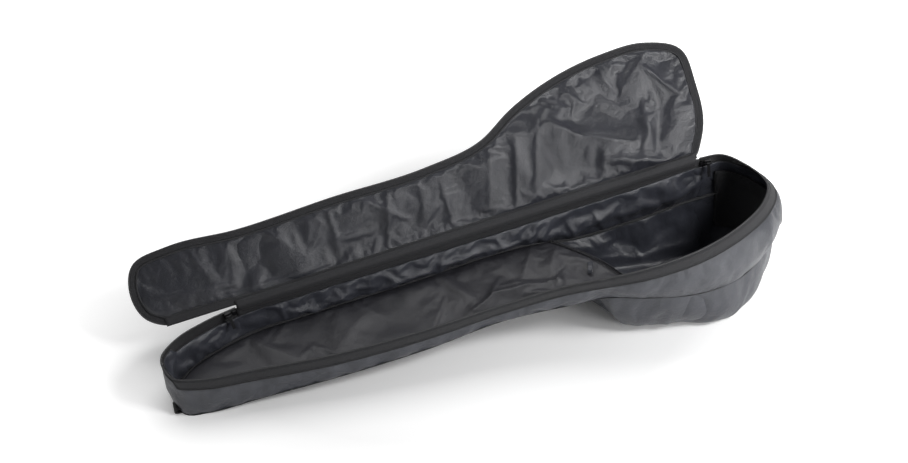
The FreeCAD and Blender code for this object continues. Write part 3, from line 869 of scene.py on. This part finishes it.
# ---------------------------------------------------------------- the lid

def lid_ring():
    """The lid's whole outline, evenly spaced: its curved edge, then its straight hinge side."""
    start, end = LID_EDGE[-1], LID_EDGE[0]
    steps = round(np.linalg.norm(end - start) / SPACING)
    share = np.linspace(0, 1, steps + 1)[1:-1, None]
    return np.vstack([LID_EDGE, start + (end - start) * share])


LID_RING = lid_ring()
LID_SIDE = side_of(LID_RING, closed=True)


# The lid's border is narrower along the hinge.
HINGE_SHARE = 0.68


def lid_line(inset):
    """The lid's outline moved inwards, less along the hinge, with its corners eased."""
    hinge_side = (LID_RING[:, 1] < 0.0045) & (LID_RING[:, 0] > 0.16)
    line = LID_RING - LID_SIDE * np.where(hinge_side, HINGE_SHARE * inset, inset)[:, None]
    for _ in range(6):
        line = (np.roll(line, 1, axis=0) + 2 * line + np.roll(line, -1, axis=0)) / 4
    return line


# Folds of the lid's lining: two ends, height, and slopes to its left and right.
LID_FOLDS = [
    ((0.780, 0.160), (0.850, 0.103), 0.011, 0.013, 0.045),
    ((0.842, 0.108), (0.955, 0.064), 0.011, 0.014, 0.040),
    ((0.878, 0.052), (1.034, 0.000), 0.013, 0.016, 0.022),
    ((0.727, 0.142), (0.692, 0.020), 0.007, 0.030, 0.010),
    ((0.776, 0.166), (0.735, 0.030), 0.007, 0.034, 0.014),
    ((0.674, 0.132), (0.645, 0.034), 0.007, 0.028, 0.018),
    ((0.650, 0.010), (0.960, 0.012), 0.006, 0.020, 0.006),
    ((0.976, 0.115), (0.972, 0.050), 0.006, 0.012, 0.020),
    ((0.361, 0.122), (0.364, 0.050), 0.005, 0.020, 0.008),
    ((0.421, 0.118), (0.488, 0.062), 0.005, 0.010, 0.020),
    ((0.365, 0.058), (0.420, 0.056), 0.005, 0.007, 0.012),
    ((0.160, 0.024), (0.335, 0.022), 0.004, 0.014, 0.007),
    ((0.570, 0.082), (0.574, 0.026), 0.005, 0.016, 0.008),
    ((0.020, 0.060), (0.165, 0.040), 0.004, 0.012, 0.016),
    ((0.475, 0.118), (0.452, 0.034), 0.005, 0.022, 0.010),
    ((0.530, 0.122), (0.528, 0.050), 0.004, 0.020, 0.012),
    ((0.240, 0.118), (0.300, 0.050), 0.004, 0.022, 0.018),
    ((0.110, 0.120), (0.130, 0.055), 0.003, 0.020, 0.012),
    ((0.805, 0.184), (0.845, 0.160), 0.005, 0.006, 0.010),
    ((0.835, 0.198), (0.866, 0.170), 0.005, 0.006, 0.010),
    ((0.876, 0.207), (0.898, 0.180), 0.004, 0.006, 0.009),
    ((0.919, 0.216), (0.930, 0.186), 0.004, 0.006, 0.009),
    ((1.000, 0.200), (1.050, 0.130), 0.005, 0.020, 0.014),
]

lid_inner_line = lid_line(LID_TAPE)
lid_plan, lid_faces = fill(lid_inner_line, SPACING)
lid_rise = from_border(lid_plan, lid_inner_line, 0.009)
lid_wave = noise_field(lid_plan, 0.11, 51) * 0.0014
lid_bulge = (0.0010 + fold_height(lid_plan, LID_FOLDS) + lid_wave) * lid_rise
lid_lining, lid_lining_pins = pillow("lid_lining_pad", lid_plan, lid_faces[::-1],
                                     0.0045 * lid_rise + 0.001, -lid_bulge - 0.0002, lid_place)
lid_back = 0.0064 * lid_rise + 0.0045 + noise_field(lid_plan, 0.10, 53) * 0.0012 * lid_rise
lid_pad, lid_pad_pins = pillow("lid_pad", lid_plan, lid_faces, lid_back, 0.0052 * lid_rise + 0.0012,
                               lid_place)
loosen(lid_lining, lid_lining_pins, 0.035, 0.0045, bending=0.4, hold=0.015)
loosen(lid_pad, lid_pad_pins, 0.02, 0.003, bending=1.0, hold=0.03)

crumple()


for soft_piece in (side_pad, side_lining, neck_back, bowl_pad, bowl_lining, lid_lining, lid_pad):
    settled_points = coordinates(soft_piece.data)
    settled_points[:, 2] = np.maximum(settled_points[:, 2], FLOOR_GAP)
    set_coordinates(soft_piece.data, settled_points)
    smoothen(soft_piece)

fit_out(side_pad, "base", OUTER,
        ["side_skin_near", "side_skin_far", "side_skin_neck_tip", "side_skin_body_end",
         "side_foam_near", "side_foam_far", "side_foam_neck_tip", "side_foam_body_end"])
fit_out(side_lining, "base", LINING, ["side_lining"])
fit_out(neck_back, "base", BACKING,
        ["neck_back_skin", "neck_back_foam", "neck_back_lining"])
fit_out(bowl_pad, "base", OUTER, ["bowl_base_panel", "bowl_skin", "bowl_foam"])
fit_out(bowl_lining, "base", LINING, ["bowl_lining"])
fit_out(lid_lining, "lid", LID_LINING_SHADED, ["lid_lining"])
fit_out(lid_pad, "lid", OUTER, ["lid_skin", "lid_foam"])


# ---------------------------------------------------------------- tapes, coils and bindings

def resample(path, spacing, closed=False):
    """The same line with evenly spaced points."""
    path = np.asarray(path, float)
    if closed:
        path = np.vstack([path, path[:1]])
    travel = travel_of(path)
    wanted = np.linspace(0, travel[-1], max(3, round(travel[-1] / spacing)) + 1)
    return sampled(path, travel, wanted[:-1] if closed else wanted)


def strip(name, path, up, profile, where=place, spacing=0.004, closed=False, ribs=None):
    """A profile carried along a line, kept square to a given up direction, in bag or lid space.
    With ribs=(pitch, depth) it swells and narrows like the teeth of a coil."""
    path = resample(path, spacing, closed)
    run = run_of(path, closed)
    up = np.broadcast_to(np.asarray(up, float), path.shape)
    side = np.cross(run, up)
    side /= np.linalg.norm(side, axis=1, keepdims=True)
    up = np.cross(side, run)
    travel = travel_of(path)
    swell = np.ones(len(path))
    if ribs:
        swell = 1 + ribs[1] * np.sin(travel * 2 * math.pi / ribs[0])
    rings = [path + side * (a * swell)[:, None] + up * (b * swell)[:, None] for a, b in profile]
    points = np.stack(rings, axis=1).reshape(-1, 3)
    across = len(profile)
    faces = grid_faces(len(path), across, round_rows=closed, round_columns=True)
    if not closed:
        faces.append(tuple(range(across)))
        faces.append(tuple(range(len(points) - across, len(points))))
    edge = travel_of(np.array(profile))
    uv = np.column_stack([np.repeat(travel, across), np.tile(edge, len(path))])
    return new_piece(name, where(points), faces, uv)


def flat_profile(width, thick, count):
    """A thin strap's section, its width along up, with rounded edges."""
    near = [(thick / 2, width * (i / count - 0.5)) for i in range(count + 1)]
    far = [(-a, b) for a, b in near[::-1]]
    return near + [(0, (width + thick) / 2)] + far + [(0, -(width + thick) / 2)]


SEAM_INSET = 0.0085
TWIN_RIDGE = [(-0.0034, 0.0), (-0.0030, 0.0012), (-0.0018, 0.0019), (-0.0006, 0.0014), (0.0, 0.0007),
              (0.0006, 0.0014), (0.0018, 0.0019), (0.0030, 0.0012), (0.0034, 0.0), (0.0020, -0.0012),
              (0.0, -0.0015), (-0.0020, -0.0012)]

ZIP_RUN = list(range(0, HINGE_COLUMN + 1))
HINGE_RUN = list(range(HINGE_COLUMN, COUNT)) + [0]


def lowered(drop, outwards, columns):
    """A line that follows the rim at a given drop and distance outwards."""
    return wall(drop / HEIGHT, -outwards)[columns]


def skirt(name, columns, top, bottom, outside, thick, rows=6):
    """A tape that hangs down the wall from the rim over the given columns."""
    drops = [top + (bottom - top) * i / (rows - 1) for i in range(rows)]
    front = [lowered(drop, outside, columns) for drop in drops]
    back = [lowered(drop, outside - thick, columns) for drop in drops[::-1]]
    return closed_rows(name, [place(line) for line in front + back], TRAVEL[:len(columns)])


def trim(name, path, profile, body="base", material=BINDING, slot="binding", replaced=(), up=UP, **shape):
    """A strip that is fitted out at once: by default a binding sewn to the base."""
    fit_out(strip(name, path, up, profile, **shape), body, material, replaced)


# A row of thread stitches, raised between needle holes.
STITCH = {"profile": oval(0.00045, 0.00035, 6), "spacing": 0.0010, "ribs": (0.0034, 0.55)}


# The teeth of the zip's coil show as ribs.
COIL_RIBS = {"spacing": 0.0006, "ribs": (0.0024, 0.16)}
BEAD = oval(0.0014, 0.0016, 8)

rim_tape = skirt("rim_zip_tape", ZIP_RUN, 0.0012, TAPE_DROP + 0.0005, 0.0012, TAPE_THICK)
fit_out(rim_tape, "base", TAPE, ["base_zip_tape"])
trim("rim_zip_coil", lowered(0.0006, 0.0004, ZIP_RUN), oval(0.0017, 0.0011, 8), "base", COILS,
     "zip_coil", ["base_zip_coil"], **COIL_RIBS)
trim("rim_inner_bead", lowered(TAPE_DROP - 0.001, -0.0022, ZIP_RUN), BEAD)
trim("rim_outer_seam", lowered(TAPE_DROP + 0.0005, 0.0014, ZIP_RUN), oval(0.0007, 0.0010, 8))

hinge_web = skirt("hinge_side_tape", HINGE_RUN, 0.0016, 0.0205, 0.0004, 0.0026)
fit_out(hinge_web, "base", BINDING, ["hinge_web"])
trim("hinge_inner_bead", lowered(0.0200, -0.0032, HINGE_RUN), BEAD)

trim("neck_seam", wall(1.0, SEAM_INSET, lift=0.0080)[NECK_COLUMNS], TWIN_RIDGE,
     replaced=["neck_seam_binding"])
LIP_RIDGE = 0.0050 - INNER_LIP_LINE[:, 2]
for name, shift in (("lip_binding_neck", -0.0022), ("lip_binding_bowl", 0.0022)):
    trim(name, np.column_stack([INNER_LIP_LINE[:, 0] + shift, INNER_LIP_LINE[:, 1], LIP_RIDGE]),
         oval(0.0010, 0.0010, 8))

# The end patch covers the seam between these columns.
patch_columns = list(range(nearest_column(1.085, -0.170), nearest_column(1.079, -0.008) + 1))
mouth = body_columns(INNER_LIP)
for name, run, hidden in (("near", [i for i in mouth if i < patch_columns[2]], ["bowl_seam_binding"]),
                          ("far", [i for i in mouth if i > patch_columns[-3]], [])):
    trim(f"body_seam_binding_{name}", wall(1.0, SEAM_INSET, lift=0.0040)[run], TWIN_RIDGE, replaced=hidden)
trim("outer_seam_piping", wall(1.0, 0.0006, lift=0.0006), oval(0.0011, 0.0011, 8), closed=True)

trim("rim_tape_stitches", lowered(TAPE_DROP - 0.0025, 0.0013, ZIP_RUN), **STITCH)
trim("rim_tape_upper_stitches", lowered(0.0052, 0.0013, ZIP_RUN), **STITCH)
trim("hinge_tape_stitches", lowered(0.0175, -0.0024, HINGE_RUN), **STITCH)


# ---------------------------------------------------------------- the lid's edge

def at_height(line, height):
    return np.column_stack([line, np.full(len(line), height)])


def lid_band(name, inner, outer, low, high, rows=5):
    """A flat band round the lid between two distances in from its outline."""
    insets = np.linspace(outer, inner, rows)
    rings = [at_height(lid_line(i), low) for i in insets] + [at_height(lid_line(i), high)
                                                             for i in insets[::-1]]
    faces = grid_faces(len(rings), len(LID_RING), round_rows=True, round_columns=True)
    travel = np.arange(len(LID_RING)) * SPACING
    return new_piece(name, lid_place(np.vstack(rings)), faces, grid_uv(rings, travel))


lid_tape = lid_band("lid_tape", LID_TAPE + 0.001, 0.0008, 0.0004, 0.0028)
fit_out(lid_tape, "lid", TAPE, ["lid_zip_tape"])

ON_LID = {"body": "lid", "where": lid_place, "closed": True}
trim("lid_coil", at_height(lid_line(0.0008)[:len(LID_EDGE)], 0.0012), oval(0.0016, 0.0011, 8), "lid",
     COILS, "zip_coil", ["lid_zip_coil"], where=lid_place, **COIL_RIBS)
trim("lid_lining_bead", at_height(lid_line(LID_TAPE + 0.001), -0.0006), oval(0.0016, 0.0016, 8), **ON_LID)
trim("lid_back_piping", at_height(lid_line(LID_TAPE - 0.003), 0.0034), oval(0.0018, 0.0018, 8),
     replaced=["lid_edge_binding"], **ON_LID)
trim("lid_tape_stitches", at_height(lid_line(LID_TAPE - 0.0022), 0.0003), **STITCH, **ON_LID)
trim("lid_tape_outer_stitches", at_height(lid_line(0.0048), 0.0003), **STITCH, **ON_LID)

# The hinge strip runs from the wall's tape, over the fold, on to the lid.
hinge_u = np.arange(0.034, 1.050, 0.005)
strip_width = 0.019 - 0.009 * np.clip((hinge_u - 0.12) / 0.10, 0, 1)
STRIP_SHARES = np.linspace(0, 1, 6)
flap_rows = [lid_place(np.column_stack([hinge_u, 0.003 + strip_width * share,
                                        np.full(len(hinge_u), height)]))
             for shares, height in ((STRIP_SHARES[::-1], -0.0016), (STRIP_SHARES, -0.0004))
             for share in shares]
fit_out(closed_rows("hinge_flap", flap_rows, hinge_u), "lid", BINDING)

fold_u = np.arange(HINGE_START + 0.004, HINGE_END - 0.004, 0.005)
fold_outline = [(-0.0034, -0.0110), (-0.0036, -0.0060), (-0.0038, -0.0010), (-0.0030, 0.0024),
                (-0.0008, 0.0040), (0.0022, 0.0064), (0.0050, 0.0094), (0.0062, 0.0080),
                (0.0036, 0.0050), (0.0010, 0.0024), (-0.0010, 0.0008), (-0.0020, -0.0020),
                (-0.0022, -0.0060), (-0.0020, -0.0110)]
fold_rows = [place(np.column_stack([fold_u, np.full(len(fold_u), v), np.full(len(fold_u), w)]))
             for v, w in fold_outline]
hinge_fold = closed_rows("hinge_fold", fold_rows, fold_u)
hinge_fold.data.materials.append(BINDING)
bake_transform(hinge_fold)
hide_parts("hinge_piping")


# ---------------------------------------------------------------- patch, handle and hanging loop

def settled(piece, first, across):
    """One row of a piece's vertices, as an array."""
    return np.array([piece.data.vertices[first + i].co for i in across])


# The patch lies on these rows of the wall's lining, then on these of the bowl's.
WALL_ROWS = range(3, 10)
BOWL_ROWS = range(1, 8)
mouth_columns = [i - mouth[0] for i in patch_columns]
mouth_across = len(bowl_inside[0])
cloth = np.array([settled(side_lining, row * COUNT, patch_columns) for row in WALL_ROWS]
                 + [settled(bowl_lining, (len(bowl_inside) + row) * mouth_across, mouth_columns)
                    for row in BOWL_ROWS])
for _ in range(4):
    cloth[1:-1] = (cloth[:-2] + 2 * cloth[1:-1] + cloth[2:]) / 4
    cloth[:, 1:-1] = (cloth[:, :-2] + 2 * cloth[:, 1:-1] + cloth[:, 2:]) / 4


def on_cloth(row, column):
    """A point of the lining between its rows and columns."""
    low_row = min(int(row), len(cloth) - 2)
    low_column = min(int(column), len(patch_columns) - 2)
    down, along = row - low_row, column - low_column
    top = cloth[low_row, low_column] * (1 - along) + cloth[low_row, low_column + 1] * along
    foot = cloth[low_row + 1, low_column] * (1 - along) + cloth[low_row + 1, low_column + 1] * along
    return top * (1 - down) + foot * down


PATCH_GRID = 24
PATCH_CORNER = 0.14
PATCH_BACK = 0.0020
PATCH_FRONT = 0.0052
patch_face = []
for down in np.linspace(0, 1, PATCH_GRID):
    corner = max(0.0, (down - 1 + PATCH_CORNER) / PATCH_CORNER)
    narrow = 1 - 0.10 * (1 - math.sqrt(1 - corner * corner))
    for along in np.linspace(-0.5, 0.5, PATCH_GRID):
        patch_face.append(on_cloth(down * (len(cloth) - 1),
                                   (0.5 + along * narrow) * (len(patch_columns) - 1)))
patch_face = np.array(patch_face).reshape(PATCH_GRID, PATCH_GRID, 3)
patch_normal = np.cross(np.gradient(patch_face, axis=0), np.gradient(patch_face, axis=1))
patch_normal /= np.linalg.norm(patch_normal, axis=2, keepdims=True)
heart = place([(BOWL_CENTRE[0], BOWL_CENTRE[1], -0.05)])[0]
if ((heart - patch_face) * patch_normal).sum() < 0:
    patch_normal = -patch_normal
patch_rows = [*(patch_face + patch_normal * PATCH_FRONT), *(patch_face + patch_normal * PATCH_BACK)[::-1]]
end_patch = closed_rows("end_patch_cloth", patch_rows, np.arange(PATCH_GRID) * 0.008)
fit_out(end_patch, "base", PATCH, ["end_patch"])

HANDLE_LEAN = (0.0, 0.11, 1.0)
handle_path = flow([(0.560, -0.0045, -0.044), (0.575, -0.0035, -0.044), (0.590, -0.0015, -0.044),
                    (0.604, 0.010, -0.043), (0.618, 0.018, -0.042), (0.635, 0.0195, -0.042),
                    (0.652, 0.018, -0.042), (0.666, 0.010, -0.043), (0.680, -0.0015, -0.044),
                    (0.695, -0.0035, -0.044), (0.710, -0.0045, -0.044)], 0.003, closed=False)
trim("handle_strap", handle_path, flat_profile(0.025, 0.0024, 8), "base", STRAP, "webbing",
     ["carry_handle"], HANDLE_LEAN, spacing=0.003)
grip_path = handle_path[len(handle_path) // 3:-len(handle_path) // 3]
trim("handle_grip", grip_path, oval(0.0040, 0.0142, 16), slot="webbing", up=HANDLE_LEAN, spacing=0.003)
for name, start in (("near", 0.562), ("far", 0.684)):
    corners = [(start, -0.054), (start + 0.022, -0.054), (start + 0.022, -0.034), (start, -0.034)]
    route = corners + [corners[0], corners[2], corners[3], corners[1]]
    line = [(u, -0.0008 + HANDLE_LEAN[1] * (w + 0.044), w) for u, w in route]
    trim(f"handle_stitches_{name}", line, oval(0.0004, 0.0004, 6), slot="webbing", up=(0, 1, 0),
         spacing=0.0011, ribs=(0.0032, 0.5))

tab_line = resample([(0.7850, -0.105, -0.0620), (0.7820, -0.112, -0.0560), (0.7780, -0.122, -0.0545),
                     (0.7750, -0.129, -0.0570), (0.7735, -0.133, -0.0620)], 0.001)
trim("lining_tab", tab_line, flat_profile(0.008, 0.0010, 6), "base", LINING, "lining_nylon",
     up=(0.92, -0.39, 0), spacing=0.001)

# The hanging loop: u and w along its fold.
LOOP_EDGE = -0.128
LOOP = [(0.0300, -0.0670), (0.0220, -0.0672), (0.0130, -0.0668), (0.0088, -0.0640),
        (0.0088, -0.0600), (0.0130, -0.0574), (0.0220, -0.0570), (0.0300, -0.0568)]
loop_line = resample([(u, LOOP_EDGE, w) for u, w in LOOP], 0.001)
trim("hanging_loop", loop_line, flat_profile(0.022, 0.0022, 8), "base", STRAP, "webbing",
     ["hang_loop"], (0, 1, 0), spacing=0.0012)

for node_name in ("neck_slider", "neck_puller", "body_slider", "body_puller", "zip_end_stops"):
    metal = frame["nodes"][node_name]
    if not metal.data.materials:
        metal.data.materials.append(PAINTED)
    for holder in metal.material_slots:
        holder.material = PAINTED


# ---------------------------------------------------------------- floor, light and camera

FLOOR = 12.0
floor_mesh = bpy.data.meshes.new("floor")
floor_mesh.from_pydata([(-FLOOR, -FLOOR, 0), (FLOOR, -FLOOR, 0), (FLOOR, FLOOR, 0), (-FLOOR, FLOOR, 0)],
                       [], [(0, 1, 2, 3)])
floor = bpy.data.objects.new("floor", floor_mesh)
bpy.context.collection.objects.link(floor)
paper, paper_tree, paper_surface = shader("floor paper", (0.93, 0.93, 0.93), 0.9, 0.0, 0.1)
# The floor glows more the further it lies from the bag: painted light that whitens the floor away from the
# bag, while real shadows still show close to it.
paper_surface.inputs["Emission Color"].default_value = (1.0, 1.0, 1.0, 1)
open_floor = node(paper_tree, "ShaderNodeTexCoord")
squeezed = node(paper_tree, "ShaderNodeMapping", [("Vector", open_floor.outputs["Object"])])
squeezed.inputs["Scale"].default_value = (1.0, 1.45, 1.0)
from_bag = node(paper_tree, "ShaderNodeVectorMath", [(0, squeezed.outputs["Vector"])], operation="LENGTH")
painted_floor_light = node(paper_tree, "ShaderNodeMapRange", [("Value", from_bag.outputs["Value"])],
                  From_Min=0.45, From_Max=1.0, To_Min=0.02, To_Max=0.80)
paper_tree.links.new(painted_floor_light.outputs["Result"], paper_surface.inputs["Emission Strength"])
floor.data.materials.append(paper)

world = bpy.data.worlds.new("studio")
bpy.context.scene.world = world
world.use_nodes = True
world.node_tree.nodes["Background"].inputs["Color"].default_value = (1.0, 1.0, 1.0, 1)
aim = node(world.node_tree, "ShaderNodeTexCoord")
toward_key = node(world.node_tree, "ShaderNodeVectorMath", [(0, aim.outputs["Generated"])],
                  operation="DOT_PRODUCT")
toward_key.inputs[1].default_value = (0.36, -0.90, 0.05)
glow = node(world.node_tree, "ShaderNodeMapRange", [("Value", toward_key.outputs["Value"])],
            From_Min=-1.0, From_Max=1.0, To_Min=0.08, To_Max=0.30)
world.node_tree.links.new(glow.outputs["Result"], world.node_tree.nodes["Background"].inputs["Strength"])


def softbox(name, spot, target, size, watts):
    """A soft rectangular studio light."""
    light = bpy.data.lights.new(name, "AREA")
    light.shape = "RECTANGLE"
    light.size, light.size_y = size
    light.energy = watts
    lamp = bpy.data.objects.new(name, light)
    lamp.location = spot
    lamp.rotation_euler = (Vector(target) - Vector(spot)).to_track_quat("-Z", "Y").to_euler()
    bpy.context.collection.objects.link(lamp)


softbox("key_light", (1.10, -1.45, 0.62), (0.50, 0.05, 0.10), (0.8, 0.6), 14)
softbox("high_key_light", (1.25, -1.00, 1.60), (0.50, 0.05, 0.10), (0.6, 0.5), 28)
softbox("top_light", (0.10, 1.25, 2.60), (0.05, -0.05, 0.0), (2.6, 1.9), 47)

camera_data = bpy.data.cameras.new("camera")
camera = bpy.data.objects.new("camera", camera_data)
bpy.context.collection.objects.link(camera)
CAMERA_AZIMUTH = math.radians(17.79)
CAMERA_ELEVATION = math.radians(42.46)
CAMERA_DISTANCE = 2.2488
view_centre = Vector(ORIGIN) + Vector((0.55, 0.0, 0.0))
from_centre = Vector((-math.cos(CAMERA_ELEVATION) * math.sin(CAMERA_AZIMUTH),
                      -math.cos(CAMERA_ELEVATION) * math.cos(CAMERA_AZIMUTH),
                      math.sin(CAMERA_ELEVATION)))
camera.location = view_centre + from_centre * CAMERA_DISTANCE
camera.rotation_euler = (-from_centre).to_track_quat("-Z", "Y").to_euler()
camera_data.sensor_width = 36.0
camera_data.lens = 48.2
camera_data.shift_x = 0.0065
camera_data.shift_y = 0.042
bpy.context.scene.camera = camera
bpy.context.scene.view_settings.view_transform = "Standard"
bpy.context.scene.view_settings.look = "None"
